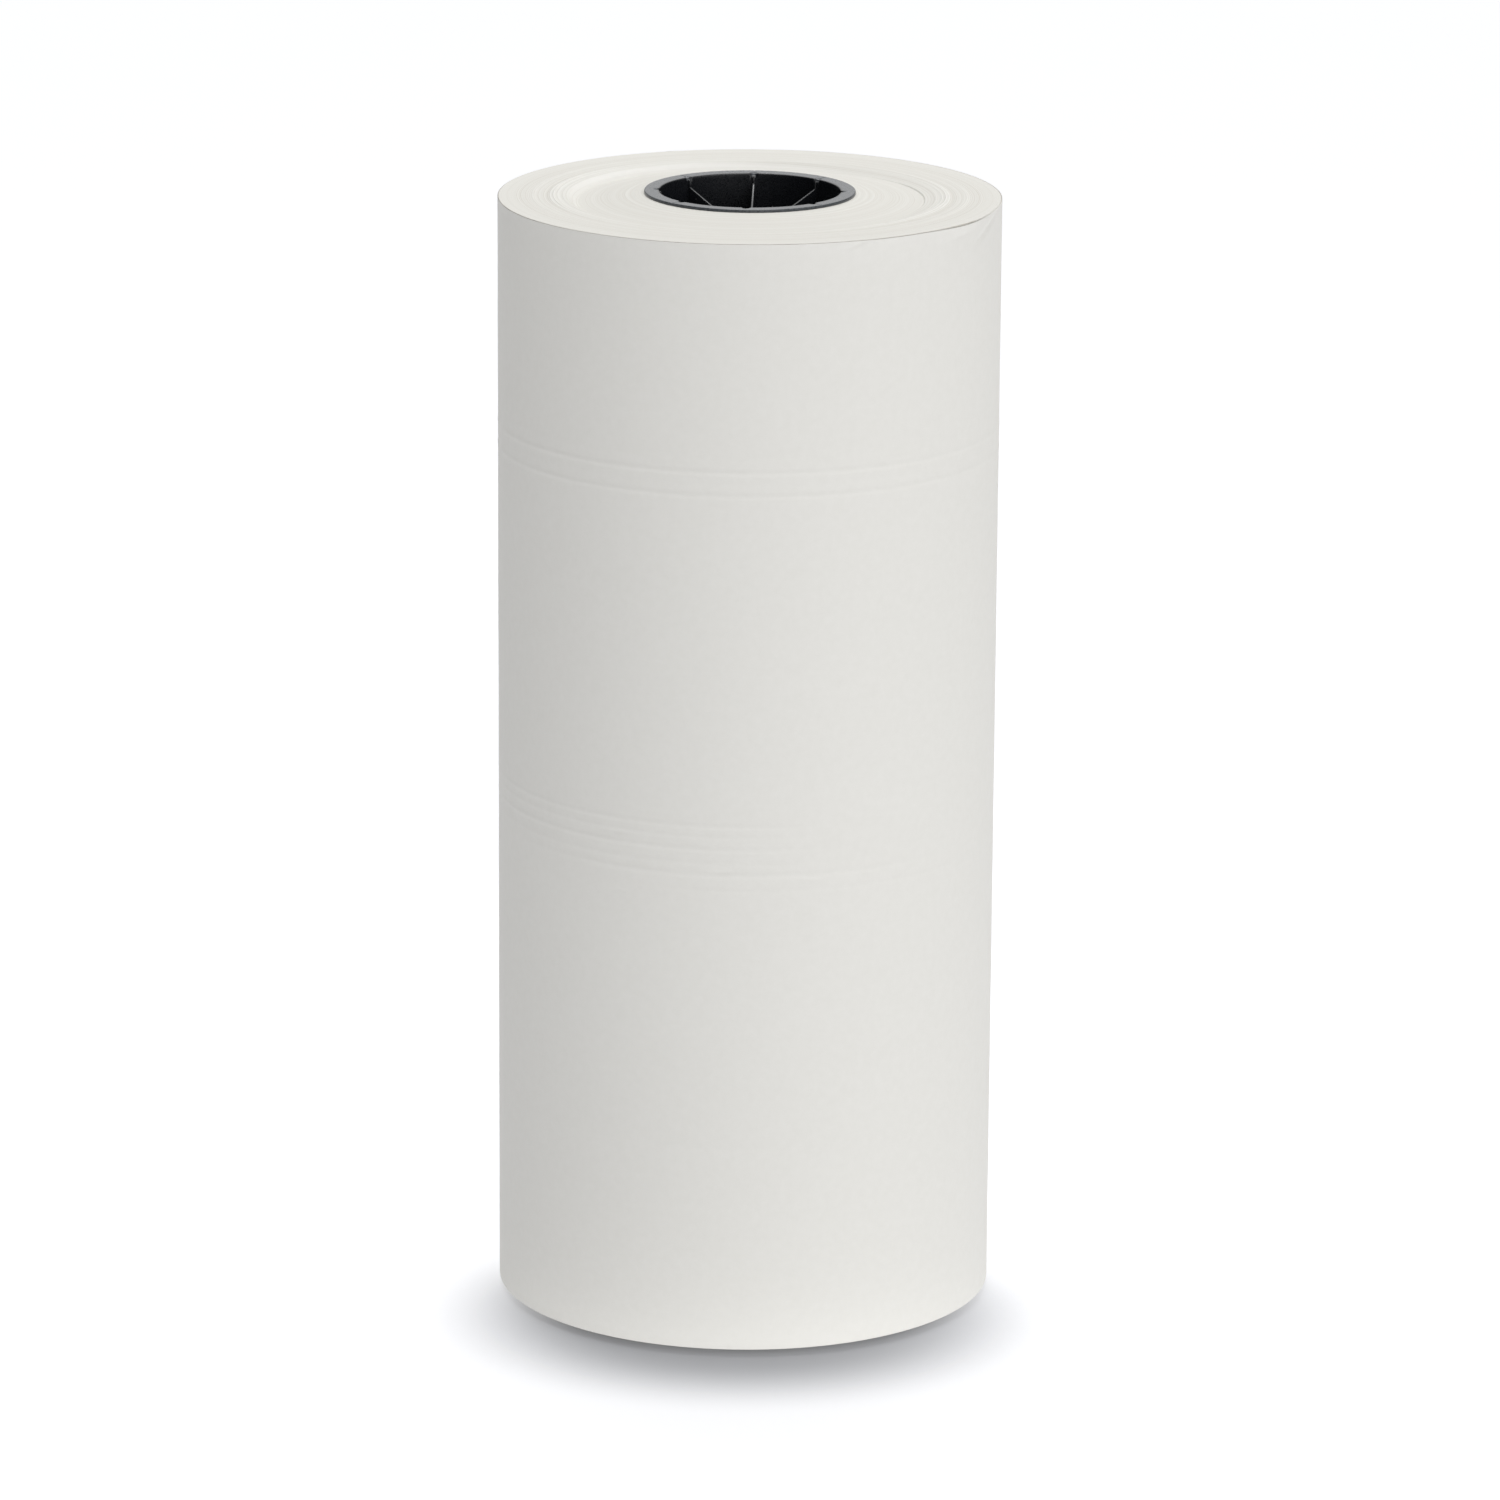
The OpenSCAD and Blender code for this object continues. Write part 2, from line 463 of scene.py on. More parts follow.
def plug_plastic():
    """Black moulded plastic: satin, with a faint flow pattern, paper dust and, on the flange, a painted sheen
    patchy with scuffs.
    """
    s = Shader("plug_plastic", roughness=0.3, specular=0.6)
    flow = s.noise(7 * MM, detail=4, rough=0.6)
    base = s.mix(s.ramp(flow, 0.3, 0.7), rgb(0.0085, 0.0095, 0.012), rgb(0.013, 0.0145, 0.018))
    dust = s.math("MULTIPLY", s.specks(4.5 * MM, 0.28 * MM, 0.22), 0.55)
    film = s.ramp(s.noise(1.3 * MM, detail=6, rough=0.7), 0.58, 0.80, 0.0, 0.035)
    scuffs = s.noise(0.9 * MM, detail=5, rough=0.7)
    # Painted sheen: beyond this radius the black turns a lighter bluish grey, in scuffed patches
    sheen_zone = s.ramp(s.radius(), SHEEN_R, SHEEN_R + 0.8 * MM)
    sheen_with_scuffs = s.math("MULTIPLY", sheen_zone, s.ramp(scuffs, 0.3, 0.7, 0.4, 1.0))
    sheened = s.mix(sheen_with_scuffs, base, rgb(0.062, 0.072, 0.084))
    s.colour(s.mix(s.math("MAXIMUM", dust, film), sheened, rgb(0.62, 0.61, 0.58)))
    s.roughness(s.ramp(scuffs, 0.3, 0.7, 0.2, 0.38))
    s.relief(s.noise(2.2 * MM, detail=3), 0.03 * MM)
    s.relief(s.lines(0.5 * MM, s.radius(), detail=2), 0.008 * MM)
    return s.material


def tab_tape():
    """Paper tape: off-white, finely creped across its length."""
    s = Shader("tab_tape", roughness=0.55, specular=0.4)
    crepe = s.lines(0.45 * MM, s.height(), detail=2)
    clouds = s.noise(5 * MM, detail=4)
    s.colour(s.mix(s.ramp(clouds, 0.3, 0.7), rgb(0.70, 0.66, 0.55), rgb(0.77, 0.735, 0.63)))
    s.roughness(s.ramp(crepe, 0.3, 0.7, 0.45, 0.65))
    s.relief(crepe, 0.04 * MM)
    s.relief(clouds, 0.04 * MM)
    return s.material


def start_tape():
    """Double-sided tape: a milky film with a slight texture."""
    s = Shader("start_tape", roughness=0.4, specular=0.5)
    clouds = s.noise(3 * MM, detail=3)
    s.colour(s.mix(clouds, rgb(0.66, 0.66, 0.62), rgb(0.78, 0.78, 0.74)))
    s.relief(clouds, 0.02 * MM)
    return s.material


PAPER_FACE = paper_face()
PAPER_EDGE = paper_edge()
LINER_BOARD = board("liner_board", rgb(0.40, 0.29, 0.175), rgb(0.50, 0.375, 0.24))
CORE_BOARD = board("core_board", rgb(0.30, 0.235, 0.165), rgb(0.40, 0.32, 0.235))
COVER_BOARD = board("cover_board", rgb(0.43, 0.32, 0.20), rgb(0.53, 0.40, 0.265))
PLUG_PLASTIC = plug_plastic()
TAB_TAPE = tab_tape()
START_TAPE = start_tape()


# ---------------------------------------------------------------- the roll's outer surface

# Hoops raised on the web: height, rise and width in mm, the azimuth where each is strongest and the
# share of it that stays all round
HOOPS = [
    (368.0, 0.125, 1.0, -90, 0.75),
    (358.6, 0.115, 1.0, -95, 0.75),
    (363.3, 0.035, 1.2, -60, 0.50),
    (373.6, 0.030, 1.4, -130, 0.50),
    (223.1, 0.095, 1.0, -125, 0.10),
    (218.7, 0.060, 0.9, -125, 0.05),
    (213.5, 0.100, 1.0, -128, 0.05),
    (207.7, 0.050, 1.0, -118, 0.05),
    (203.0, 0.085, 1.1, -95, 0.15),
    (196.5, 0.055, 1.0, -68, 0.10),
    (88.3, 0.055, 1.5, -118, 0.20),
    (412.0, 0.030, 1.5, 20, 0.20),
    (301.0, 0.040, 1.3, 150, 0.10),
    (142.0, 0.035, 1.4, 60, 0.10),
]

# Small puckers: azimuth, height in mm, reach round and up in mm, depth in mm, slope of its long axis
PUCKERS = [
    (-119.8, 217.4, 3.0, 1.1, 0.16, 0.15),
    (-119.5, 193.1, 2.6, 0.9, 0.12, -0.10),
    (-95.8, 204.1, 3.2, 1.0, 0.12, 0.10),
    (-75.1, 200.6, 3.4, 1.0, 0.12, -0.12),
    (-110.4, 166.7, 1.2, 0.9, 0.06, 0.0),
    (-64.9, 458.7, 4.2, 0.45, 0.40, 0.32),
    (-20.0, 455.4, 11.0, 1.1, 0.42, 0.30),
    (-24.0, 452.6, 10.0, 1.2, 0.26, 0.30),
    (-34.0, 455.6, 9.0, 1.3, 0.22, 0.12),
    (35.0, 330.0, 3.0, 1.2, 0.12, 0.1),
    (160.0, 120.0, 3.2, 1.1, 0.12, -0.2),
]

# How far the sheet's upper edge is from the plane of the end, in mm
EDGE_RISE_MM = {
    -180: -0.1,
    -150: -0.22,
    -130: -0.15,
    -108: -0.2,
    -95: -0.1,
    -84: -0.05,
    -76: -0.18,
    -71: 0.02,
    -66: -0.05,
    -60: -0.28,
    -53: -0.05,
    -48: -0.12,
    -42: -0.3,
    -37: -0.55,
    -33: -0.7,
    -29: -1.1,
    -25: -0.8,
    -18: -0.3,
    -8: -0.05,
    60: 0.0,
    120: -0.1,
}

# How far the sheet stands off the pack at its upper edge, and how far the pack is drawn in there, in mm
EDGE_GAPE_MM = {
    -180: 0.05,
    -150: 0.22,
    -100: 0.2,
    -90: 0.3,
    -80: 0.35,
    -70: 0.25,
    -62: 0.35,
    -58: 0.7,
    -53: 0.75,
    -50: 0.25,
    -46: 0.15,
    -43: 0.5,
    -38: 1.0,
    -32: 0.85,
    -28: 0.2,
    -20: 0.05,
    -10: 0.0,
}
PACK_DRAW_MM = {
    -180: 0.1,
    -150: 0.4,
    -90: 0.5,
    -70: 0.35,
    -62: 0.3,
    -57: 0.7,
    -52: 0.6,
    -48: 0.15,
    -45: 0.2,
    -40: 0.8,
    -33: 0.9,
    -29: 0.35,
    -23: 0.05,
    -6: 0.0,
}
# How far down from the sheet's upper edge the gape and the drawn-in pack reach
GAPE_DEPTH = 4.5 * MM
DRAW_DEPTH = 9 * MM
SURFACE_SEED = 5


def make_swell():
    """Long, very shallow waves of the sheet."""
    draw = np.random.default_rng(SURFACE_SEED)
    waves = []
    for _ in range(14):
        turns = int(draw.integers(1, 9))
        per_metre = draw.uniform(3, 26)
        waves.append((turns, per_metre, draw.uniform(0, 360), draw.uniform(0.003, 0.009) * MM))
    return waves


SWELL = make_swell()


# How far inside the roll's radius the sheet starts, under the tail's free edge
SPIRAL_DROP = 1.4 * PAPER


def sheet_spiral(azimuth):
    """How far the sheet's outer face is inside the roll's radius: nothing at the tail's root."""
    turned = (azimuth - TAIL_TO) % 360 / (360 - (TAIL_TO - TAIL_FROM))
    return SPIRAL_DROP * np.clip(1 - turned, 0, 1)


def sheet_dents(azimuth, z):
    """How far the puckers and waves press the sheet in, less what the hoops raise it."""
    depth = nothing(azimuth, z)
    for z_mm, rise, width, side, steady in HOOPS:
        strength = steady + (1 - steady) * smooth(1.6 * np.cos(np.radians(azimuth - side)) - 0.6)
        depth = depth - rise * MM * strength * bell(z, z_mm * MM, width * MM)
    for side, z_mm, wide, tall, deep, slope in PUCKERS:
        across = np.radians(turn_from(azimuth, side)) * ROLL_R
        up = z - z_mm * MM - slope * across
        depth = depth + deep * MM * bell(across, 0, wide * MM) * bell(up, 0, tall * MM)
    for turns, per_metre, phase, height in SWELL:
        angle = turns * azimuth + 360 * per_metre * z + phase
        depth = depth + height * (1 + np.cos(np.radians(angle)))
    return depth


def upper_edge(azimuth):
    """The height of the sheet's upper edge."""
    return OUTER_Z[1] + around(azimuth, EDGE_RISE_MM) * MM


def edge_gape(azimuth, z):
    """How far the sheet stands off the pack near its upper edge."""
    return around(azimuth, EDGE_GAPE_MM) * MM * np.exp(-(upper_edge(azimuth) - z) / GAPE_DEPTH)


def pack_draw(azimuth, z):
    """How far the pack is drawn in behind the sheet, from just under the sheet's upper edge."""
    below = upper_edge(azimuth) + 0.1 * MM - z
    fade = np.exp(-np.maximum(below, 0) / DRAW_DEPTH)
    return around(azimuth, PACK_DRAW_MM) * MM * smooth(below / (0.35 * MM)) * fade


def sheet_heights():
    """Shares of the sheet's height, closer together at the hoops, four of the puckers and the upper edge."""
    marks = [h[0] for h in HOOPS] + [p[1] for p in PUCKERS[:4]]
    low, high = OUTER_Z[0] / MM, OUTER_Z[1] / MM
    heights, at = [], low
    while at < high - 0.2:
        heights.append(at)
        near = min(abs(at - m) for m in marks)
        step = 0.5 + 4.0 * smooth((near - 2.2) / 7)
        at += float(min(step, max(0.45, (high - at) * 0.12)))
    heights.append(high)
    return (np.array(heights) - low) / (high - low)


# ---------------------------------------------------------------- the web's end faces

# How wide the sideways step from the lowest wraps up to the outer wraps is, round the roll
STEP_WIDTH_MM = {-180: 3.6, -140: 4.0, -112: 6.0, -90: 8.0, -50: 9.0, 56: 9.0, 80: 5.5, 104: 4.2, 130: 3.8}
# How far the lowest wraps, at the foot of the step, lie below the outer wraps
TROUGH_MM = {-180: 2.6, -120: 2.2, -60: 1.8, -10: 1.5, 40: 1.7, 80: 2.7, 140: 2.7}
# The share of the step's height that it rises at once
STEP_CRISP = {-180: 0.0, -32: 0.04, -14: 0.22, 0: 0.34, 22: 0.30, 36: 0.12, 74: 0.05, 92: 0.0}
STEP_SHARP = 0.45 * MM

RING_SEED = 11
RING_PITCH = 1.1 * MM
# The share of a faint ring that changes round the roll
RING_CHANGE = 0.5


def make_rings():
    """Many faint rings between the proud ones, each of them strongest on one side of the roll."""
    draw = np.random.default_rng(RING_SEED)
    rings = []
    for radius in np.arange(CORE_R, ROLL_R, RING_PITCH):
        height = draw.normal(0, 0.018) * MM
        width = draw.uniform(0.3, 0.6) * MM
        at = radius + draw.uniform(-0.5, 0.5) * MM
        rings.append((at, height, width, draw.uniform(-180, 180)))
    return rings


RINGS = make_rings()


def end_relief(radius, azimuth):
    """How far the end face stands above the core's end: level at the core, down a cone and up the step."""
    width = around(azimuth, STEP_WIDTH_MM) * MM
    crisp = around(azimuth, STEP_CRISP)
    soft_rise = smooth((radius - STEP_R) / width)
    sharp_rise = smooth((radius - STEP_R) / STEP_SHARP)
    trough = around(azimuth, TROUGH_MM) * MM
    fall = np.clip((radius - LEVEL_R) / (STEP_R - LEVEL_R), 0, 1)
    relief = trough * ((1 - crisp) * soft_rise + crisp * sharp_rise) - (CORE_PROUD + trough) * fall
    proud = 0.1 + 0.9 * np.cos(np.radians(azimuth - RING_SIDE)) ** 2
    for share, height, spread in PROUD_RINGS:
        relief = relief + height * MM * proud * bell(radius, share * ROLL_R, spread * MM)
    for at, height, spread, side in RINGS:
        strength = 1 - RING_CHANGE + RING_CHANGE * np.cos(np.radians(azimuth - side))
        relief = relief + height * strength * bell(radius, at, spread)
    return relief


# How far apart the end faces' points are along a radius, and how many there are round the roll,
# down a corner and up the bore
END_STEP = 0.42 * MM
END_COLUMNS = 288
CORNER_ROWS = 6
BORE_ROWS = 24
# How far below the outer wraps' end their corner meets the wall
BRINK_BELOW = 1.6 * MM


def ring_band(name, r_in, r_out, corner_knots_mm, dented, material):
    """A band of wraps: a tube whose end faces carry the rings and whose outer corners are rounded."""
    azimuth = np.linspace(-180, 180, END_COLUMNS, endpoint=False)[:, None]

    def wall_at(z):
        if not dented:
            return r_out + nothing(azimuth, z)
        return r_out - (sheet_dents(azimuth, z) + pack_draw(azimuth, z))

    corner = around(azimuth, corner_knots_mm) * MM
    brink = wall_at(np.array([[OUTER_Z[1] - BRINK_BELOW]])) - corner
    flat = np.linspace(0, 1, int((r_out - r_in) / END_STEP))[None, :]
    face_r = r_in + flat * (brink - r_in)
    face_z = end_relief(face_r, azimuth)
    bend = np.radians(np.linspace(15, 90, CORNER_ROWS))[None, :]
    corner_z = face_z[:, -1:] - corner * (1 - np.cos(bend))
    high_z = CORE_Z[1] + np.concatenate([face_z, corner_z], axis=1)
    low_face_z = np.concatenate([face_z, face_z[:, -1:] + 0 * corner_z], axis=1)
    low_z = CORE_Z[0] + low_face_z[:, ::-1]
    high_corner = wall_at(high_z[:, -CORNER_ROWS:]) - corner * (1 - np.sin(bend))
    low_corner = wall_at(low_z[:, :CORNER_ROWS]) - corner * (1 - np.sin(bend[:, ::-1]))
    share = sheet_heights()[None, 2:-2:2][:, ::-1]
    wall_z = low_z[:, :1] + share * (high_z[:, -1:] - low_z[:, :1])
    bore_z = low_z[:, -1:] + np.linspace(0, 1, BORE_ROWS)[None, 1:-1] * (high_z[:, :1] - low_z[:, -1:])
    bore_r = r_in + 0 * bore_z
    ends_and_wall = [face_r, high_corner, wall_at(wall_z), low_corner, face_r[:, ::-1]]
    radius = np.concatenate([*ends_and_wall, bore_r], axis=1)
    height = np.concatenate([high_z, wall_z, low_z, bore_z], axis=1)
    return sweep(name, polar(radius, azimuth, height), True, material)


# A face is part of a wall when the upright part of its normal is less than this
WALL_LEAN = 0.35


def paint_walls(piece, material):
    """Gives a band's upright walls the face of the paper: its ends keep the wraps' cut edges."""
    piece.data.materials.append(material)
    for polygon in piece.data.polygons:
        if abs(polygon.normal.z) < WALL_LEAN:
            polygon.material_index = 1


# Radii of the bands' outer corners: the outermost wraps have slipped and rolled over at the front right
INNER_CORNER_MM = {0: 0.02}
PACK_CORNER_MM = {-180: 0.12, -95: 0.15, -60: 0.25, -42: 0.35, -30: 0.8, -20: 1.4, -10: 0.9, 5: 0.3, 90: 0.12}

inner_wraps = ring_band("paper_inner_wraps", CORE_R, STEP_R, INNER_CORNER_MM, False, PAPER_EDGE)
outer_wraps = ring_band("paper_outer_wraps", STEP_R, PACK_R, PACK_CORNER_MM, True, PAPER_EDGE)
for band, node in ((inner_wraps, "web_inner_wraps"), (outer_wraps, "web_outer_wraps")):
    paint_walls(band, PAPER_FACE)
    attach(band, "roll")
    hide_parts(node)


# ---------------------------------------------------------------- the outermost sheet


def sheet_section(azimuth, r_in, spiral, lift):
    """The closed sections of a paper sheet at each azimuth, up its inside and down its outside."""
    share = sheet_heights()[None, :]
    top = upper_edge(azimuth)
    z = OUTER_Z[0] + share * (top - OUTER_Z[0])
    gape = edge_gape(azimuth, z)
    outside = ROLL_R - spiral - sheet_dents(azimuth, z) + gape + lift(azimuth, z)
    inner_z = np.concatenate([z[:, :-1:4], z[:, -1:]], axis=1)
    inside = r_in - sheet_dents(azimuth, inner_z) + edge_gape(azimuth, inner_z) + lift(azimuth, inner_z)
    radius = np.concatenate([inside, outside[:, ::-1]], axis=1)
    height = np.concatenate([inner_z, z[:, ::-1]], axis=1)
    return polar(radius, azimuth, height)


# Degrees between the sheet's columns, within FINE_REACH of its uneven front right and elsewhere
FINE_TURN = 0.82
PLAIN_TURN = 1.42
FINE_SIDE = -50
FINE_REACH = 42


def outer_sheet():
    """The outermost turn, from the tail's free edge round to the tail's root."""
    end = TAIL_FROM + 360
    azimuths = [TAIL_TO + 0.05]
    while azimuths[-1] < end - FINE_TURN:
        fine = abs(turn_from(azimuths[-1], FINE_SIDE)) < FINE_REACH
        azimuths.append(azimuths[-1] + (FINE_TURN if fine else PLAIN_TURN))
    azimuths[-1] = end
    azimuth = np.array(azimuths)[:, None]
    grid = sheet_section(azimuth, SHEET_IN_R, sheet_spiral(azimuth), nothing)
    return sweep("paper_outer_sheet", grid, False, PAPER_FACE)


sheet = outer_sheet()
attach(sheet, "roll")
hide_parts("outer_wrap")


# ---------------------------------------------------------------- the tail and its tape tabs

TAB_LOW, TAB_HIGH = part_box("tail_tape_tabs")
TAB_COUNT = 3
TAB_HEIGHT = 24 * MM
TAB_PITCH = (TAB_HIGH.z - TAB_LOW.z - TAB_HEIGHT) / (TAB_COUNT - 1)
TAB_CENTRES = [TAB_LOW.z + TAB_HEIGHT / 2 + i * TAB_PITCH for i in range(TAB_COUNT)]
TAB_LENGTH = 40 * MM
TAB_T = 0.13 * MM
TAB_SEAT = 0.03 * MM
TAB_COLUMNS = 41
TAB_ROWS = 33
TAB_SEED = 20
# The free edge's rise and how far back it runs, then a run round from the tail's root that only sets bend_end
TAIL_CURL = 0.45 * MM
TAIL_CURL_RUN = 9 * MM
BLEND_RUN = 32 * MM
TAIL_COLUMNS = 56


def tail_lift(azimuth, z):
    """The free edge stands up a little between the tabs."""
    from_edge = np.radians(TAIL_TO - azimuth) * ROLL_R
    rise = smooth(1 - from_edge / TAIL_CURL_RUN) ** 2
    held = 0 * z
    for centre in TAB_CENTRES:
        held = np.maximum(held, smooth(1.9 - np.abs(z - centre) / (0.75 * TAB_HEIGHT)))
    return TAIL_CURL * rise * (1 - held)


def paper_tail():
    """The free end of the web, from its root round to its free edge."""
    columns = np.linspace(0, 1, TAIL_COLUMNS)[:, None]
    azimuth = TAIL_FROM + columns * (TAIL_TO - TAIL_FROM)
    grid = sheet_section(azimuth, TAIL_IN_R, 0 * azimuth, tail_lift)
    return sweep("paper_tail", grid, False, PAPER_FACE)


def on_roll(azimuth):
    """A point on the roll's surface, level with the hinge's stated point."""
    return tuple(polar(ROLL_R, azimuth, HINGE[2]).tolist())


tail = paper_tail()
bend_end = TAIL_FROM + math.degrees(BLEND_RUN / ROLL_R)
on_roll(TAIL_FROM)
on_roll(bend_end)
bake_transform(tail)
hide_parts("tail_flap")


def tape_tab(name, centre, seed):
    """A strip of paper tape over the tail's edge, torn off against a toothed cutter at both ends."""
    draw = np.random.default_rng(seed)
    half = TAB_LENGTH / 2
    along = np.linspace(-1, 1, TAB_COLUMNS)[:, None]
    up = np.linspace(-0.5, 0.5, TAB_ROWS)[None, :] * TAB_HEIGHT
    teeth = np.where(np.arange(TAB_ROWS) % 2 == 0, 0.45, -0.25)[None, :] * MM
    ragged = [teeth + draw.normal(0, 0.08, TAB_ROWS)[None, :] * MM for _ in range(2)]
    torn = np.where(along > 0, ragged[0], -ragged[1]) * smooth(np.abs(along) * 4 - 3)
    skew = math.radians(draw.uniform(-1.5, 1.5))
    run = along * half + torn + up * math.sin(skew)
    z = centre + up - along * half * math.sin(skew)
    azimuth = TAIL_TO + np.degrees(run / ROLL_R)
    over_tail = ROLL_R - sheet_dents(azimuth, z)
    over_roll = ROLL_R - sheet_spiral(azimuth + 0.01) - sheet_dents(azimuth, z)
    drop = smooth(run / (2.2 * MM))
    seat = over_tail * (1 - drop) + over_roll * drop + TAB_SEAT
    ends = smooth((1 - np.abs(along)) * 20)
    seat = seat + (1 - ends) * 0.05 * MM
    upper = polar(seat + TAB_T, azimuth, z)
    lower = polar(seat, azimuth, z)
    grid = np.concatenate([lower, upper[:, ::-1]], axis=1)
    return sweep(name, grid, False, TAB_TAPE)


for i, centre in enumerate(TAB_CENTRES):
    tab = tape_tab(f"tape_tab_{i + 1}", centre, TAB_SEED + i)
    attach(tab, "tail")
    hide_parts("tail_tape_tabs")


# ---------------------------------------------------------------- the spiral-wound core

PLY_PITCH = 124 * MM
SEAM_GAP = 0.35 * MM
# The azimuth where the first ply's seam starts, and how far each ply's is turned from the last one's
FIRST_SEAM = 40
SEAM_TURN = 97
LINER_ROWS = 120
PLY_ROWS = 60
PLY_COLUMNS = 96
PLY_NODES = ["core_liner_ply"] + [f"core_body_ply_{i}" for i in range(1, 6)] + ["core_cover_ply"]
# Slot name, which nothing uses, and material of the first and the last ply: every other ply is core board
PLY_LOOKS = {"core_liner_ply": ("liner_board", LINER_BOARD), "core_cover_ply": ("cover_board", COVER_BOARD)}


def helical_ply(name, node, phase, rows, material):
    """One strip of board wound into a tube: its two edges meet along a helix with a hair's gap."""
    r_in, r_out = node_radii(node)
    low, high = node_heights(node)
    z = np.linspace(low, high, rows)[:, None]
    gap = math.degrees(SEAM_GAP / r_in)
    share = np.linspace(0, 1, PLY_COLUMNS)[None, :]
    azimuth = phase + 360 * z / PLY_PITCH + gap / 2 + share * (360 - gap)
    edge = np.minimum(share, 1 - share) * (360 - gap)
    ease = 0.06 * MM * (1 - smooth(edge / 1.2))
    inner = polar(r_in + ease, azimuth, z)
    outer = polar(r_out - ease, azimuth, z)
    grid = np.concatenate([inner, outer[:, ::-1]], axis=1)
    return sweep(name, grid, False, material)


for i, node in enumerate(PLY_NODES):
    slot_of_ply, board_of_ply = PLY_LOOKS.get(node, ("core_board", CORE_BOARD))
    rows = LINER_ROWS if i == 0 else PLY_ROWS
    phase = FIRST_SEAM + SEAM_TURN * i
    ply = helical_ply(node.replace("core_", "board_"), node, phase, rows, board_of_ply)
    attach(ply, "roll")
    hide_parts(node)

tape_node = frame["nodes"]["start_tape"]
tape_node.data.materials.clear()
tape_node.data.materials.append(START_TAPE)


# ---------------------------------------------------------------- the core plugs

# Heights are from the flange's underside, along the way the plug comes out of the core
FLANGE_R = node_radii("core_plug_top")[1]
FLANGE_T = 1.2 * MM
BARREL_DEPTH = 32 * MM
BARREL_R = 37.85 * MM
MOUTH_R = 36.65 * MM
FOOT_R = 36.3 * MM
DISH = 0.12 * MM
EDGE_ROUND = 0.4 * MM
MOUTH_ROUND = 0.55 * MM
HUB_ROUND = 0.45 * MM
SMALL_ROUND = 0.3 * MM
HUB_OUT_R = 14.8 * MM
HUB_IN_R = 13 * MM
HUB_TOP = -12 * MM
HUB_COLUMNS = 128
RIB_COUNT = 8
RIB_T = 0.85 * MM
# How much thicker a rib gets in a metre of depth
RIB_DRAFT = 4
RIB_BEAD = 1.0 * MM
RIB_MOUTH = -3.3 * MM
RIB_FOOT = -BARREL_DEPTH + 2 * MM
RIB_ROUND = 0.2 * MM
PLUG_TURN = 87.6
NOTCH_HALF_ANGLE = 3.0
NOTCH_BACK = 1.15 * MM
NOTCH_DOWN = 0.5 * MM
GROOVE_HALF_ANGLE = 0.45
GROOVE_DEPTH = 0.14 * MM
GRIP_COUNT = 16
GRIP_HALF_ANGLE = 0.9
GRIP_PROUD = 0.2 * MM


def arc(centre_r, centre_z, radius, start, end, steps):
    """Points of an arc in the section's plane: (distance from the axis, height)."""
    angles = np.radians(np.linspace(start, end, steps))
    return [(centre_r + radius * math.cos(a), centre_z + radius * math.sin(a)) for a in angles]


def shell_section():
    """The flange and barrel's section, from the flange's underside round its rim and down the mouth."""
    rim = arc(FLANGE_R - EDGE_ROUND, FLANGE_T - EDGE_ROUND, EDGE_ROUND, 0, 84, 7)
    mouth = arc(MOUTH_R + MOUTH_ROUND, FLANGE_T - DISH - MOUTH_ROUND, MOUTH_ROUND, 92, 180, 8)
    foot_in = arc(FOOT_R + SMALL_ROUND, -BARREL_DEPTH + SMALL_ROUND, SMALL_ROUND, 180, 270, 4)
    lead = [(BARREL_R - 0.6 * MM, -BARREL_DEPTH), (BARREL_R - 0.2 * MM, -BARREL_DEPTH + 0.5 * MM)]
    rim_in = FLANGE_R - EDGE_ROUND
    face_run = rim_in - MOUTH_R - MOUTH_ROUND
    top_face = [(rim_in - f * face_run, FLANGE_T - f * DISH) for f in (0.2, 0.4, 0.6, 0.8)]
    bore_top = FLANGE_T - DISH - MOUTH_ROUND
    narrowing = FOOT_R - MOUTH_R
    bore = [(MOUTH_R + f * narrowing, bore_top + f * -BARREL_DEPTH) for f in (0.04, 0.1, 0.2, 0.45, 0.7)]
    barrel = [(BARREL_R, -BARREL_DEPTH * f) for f in (0.955, 0.92, 0.5, 0.13, 0.1, 0.006)]
    under = [(BARREL_R + 0.15 * MM, 0.0), (FLANGE_R - 0.25 * MM, 0.0), (FLANGE_R, 0.2 * MM)]
    return np.array(rim + top_face + mouth + bore + foot_in + lead + barrel + under)


def plug_azimuths():
    """Columns round the plug, close together at the notches, the grooves and the grip ribs."""
    at = set(np.round(np.arange(0, 360, 2.5), 3).tolist())
    for i in range(RIB_COUNT):
        for offset in (0, 0.22, 0.45, 0.7, 1.1, 1.6, 2.2, 2.8, 3.2):
            for sign in (-1, 1):
                at.add(round((i * 360 / RIB_COUNT + sign * offset) % 360, 3))
    for i in range(GRIP_COUNT):
        for offset in (0, 0.55, 0.8, 1.0):
            for sign in (-1, 1):
                at.add(round(((i + 0.5) * 360 / GRIP_COUNT + sign * offset) % 360, 3))
    return np.array(sorted(at))


